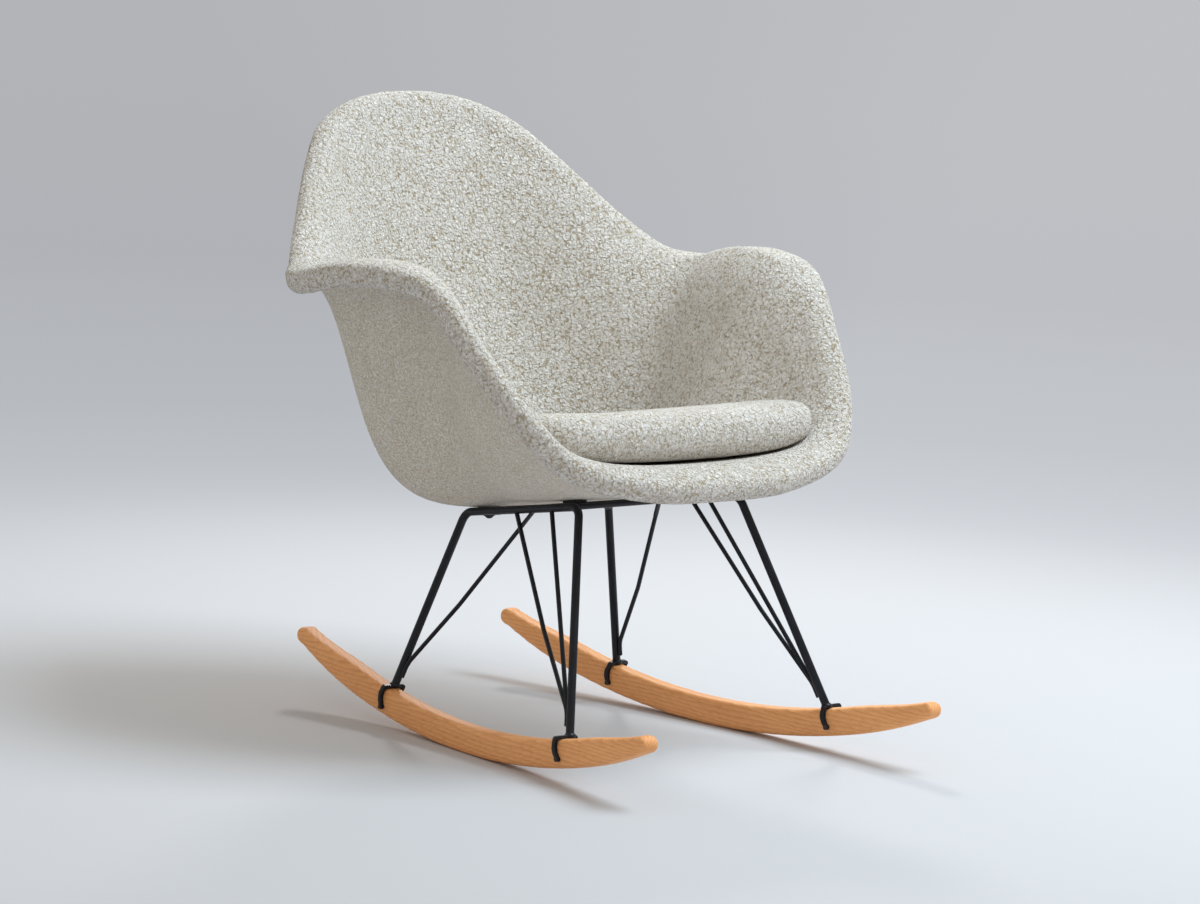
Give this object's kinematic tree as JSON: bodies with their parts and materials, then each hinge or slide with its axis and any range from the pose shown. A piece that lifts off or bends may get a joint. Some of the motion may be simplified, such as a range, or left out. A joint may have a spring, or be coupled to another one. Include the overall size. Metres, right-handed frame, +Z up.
{
  "type": "rocking chair",
  "caption": "Upholstered rocking armchair: moulded bucket shell in looped cream cloth with a loose seat cushion, on a black wire base and two bent wooden rockers.",
  "frame": {"origin": "on the floor, midway between the two rockers, under the lowest line of their arcs", "axes": "+X across the chair, towards the left arm of someone who sits in it; +Y to the back; +Z up"},
  "size_m": [0.6528, 0.736, 0.7012],
  "materials": {
    "boucle": "looped cream cloth",
    "shell": "moulded, hidden under the cloth",
    "frame_black": "satin powder coat",
    "rubber": "matt",
    "fastener": "blackened",
    "wood": "satin lacquer"
  },
  "bodies": {
    "chair": {"shell_core": "shell", "inner_pad": "boucle", "outer_cover": "boucle", "rim_roll": "boucle", "side_frame_left": "frame_black", "side_frame_right": "frame_black", "front_cross_bar": "frame_black", "rear_cross_bar": "frame_black", "rear_brace_left": "frame_black", "rear_brace_right": "frame_black", "front_outer_brace_left": "frame_black", "front_outer_brace_right": "frame_black", "front_inner_brace_left": "frame_black", "front_inner_brace_right": "frame_black", "mount_tab_front_left": "frame_black", "mount_tab_front_right": "frame_black", "mount_tab_rear_left": "frame_black", "mount_tab_rear_right": "frame_black", "shock_mount_front_left": "rubber", "shock_mount_front_right": "rubber", "shock_mount_rear_left": "rubber", "shock_mount_rear_right": "rubber", "mount_screws": "fastener", "mount_washers": "fastener", "saddle_front_left": "frame_black", "saddle_front_right": "frame_black", "saddle_rear_left": "frame_black", "saddle_rear_right": "frame_black", "saddle_screws": "fastener", "rocker_left": "wood", "rocker_right": "wood"},
    "cushion": {"seat_cushion": "boucle"}
  },
  "joints": [
    {"name": "cushion_lift", "type": "slide", "parent": "chair", "child": "cushion", "axis": [0, 0, 1], "range_m": [0, 0.2]}
  ]
}
